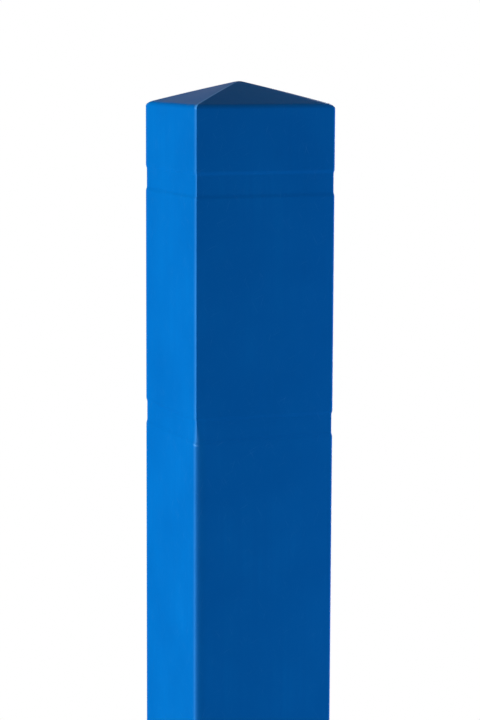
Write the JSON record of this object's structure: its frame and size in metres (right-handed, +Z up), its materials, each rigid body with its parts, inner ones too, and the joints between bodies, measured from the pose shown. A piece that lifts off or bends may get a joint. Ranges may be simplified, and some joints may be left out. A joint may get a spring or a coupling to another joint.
{
  "type": "bollard cover sleeve",
  "caption": "Square blue plastic sleeve that drops over a pipe bollard, with a low pyramid roof, recessed tape bands, an open base and foam strips inside that grip the bollard.",
  "frame": {"origin": "middle of the base rim, on the surface that the sleeve stands on", "axes": "+Z up along the sleeve towards the roof, -Y out of the front face, +X out of the right face"},
  "size_m": [0.186, 0.186, 1.32],
  "materials": {
    "moulded_polyethylene": "satin, as it leaves the mould",
    "closed_cell_foam": "matte, with a fine skin"
  },
  "bodies": {
    "root": {"sleeve_shell": "moulded_polyethylene", "foam_strip_upper_right": "closed_cell_foam", "foam_strip_upper_back": "closed_cell_foam", "foam_strip_upper_left": "closed_cell_foam", "foam_strip_upper_front": "closed_cell_foam", "foam_strip_lower_right": "closed_cell_foam", "foam_strip_lower_back": "closed_cell_foam", "foam_strip_lower_left": "closed_cell_foam", "foam_strip_lower_front": "closed_cell_foam"}
  },
  "joints": []
}
